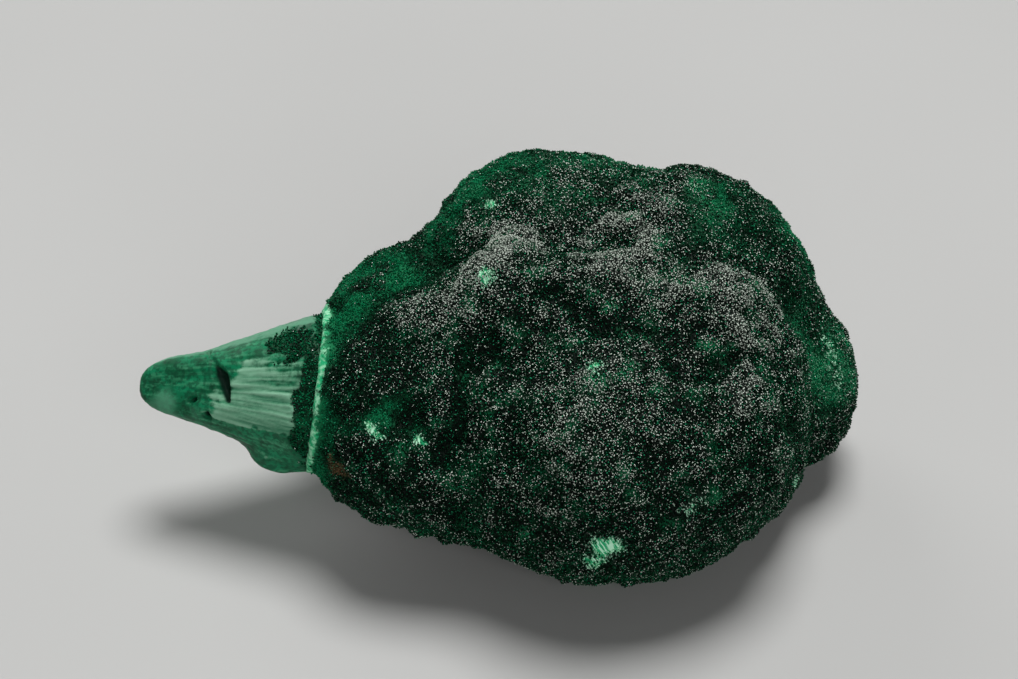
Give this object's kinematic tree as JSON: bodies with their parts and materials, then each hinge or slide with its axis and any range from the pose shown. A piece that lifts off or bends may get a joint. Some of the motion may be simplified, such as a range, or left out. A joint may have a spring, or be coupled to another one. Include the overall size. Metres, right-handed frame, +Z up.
{
  "type": "malachite specimen",
  "caption": "Botryoidal velvet malachite specimen: a lobed dark green dome with a short broken stalk of pale fibrous stone, resting on a flat broken base.",
  "frame": {"origin": "centre of the bounding box, on the plane of the flat broken base", "axes": "+X away from the tip of the stalk, along the longest extent; +Z up, out of the base, along the shortest extent; the front dome looks towards -Y"},
  "size_m": [0.0606, 0.0372, 0.0266],
  "materials": {
    "malachite": "velvety drusy malachite, dark green with fine glints, paler and silky where broken"
  },
  "bodies": {
    "root": {"malachite_specimen": "malachite"}
  },
  "joints": []
}
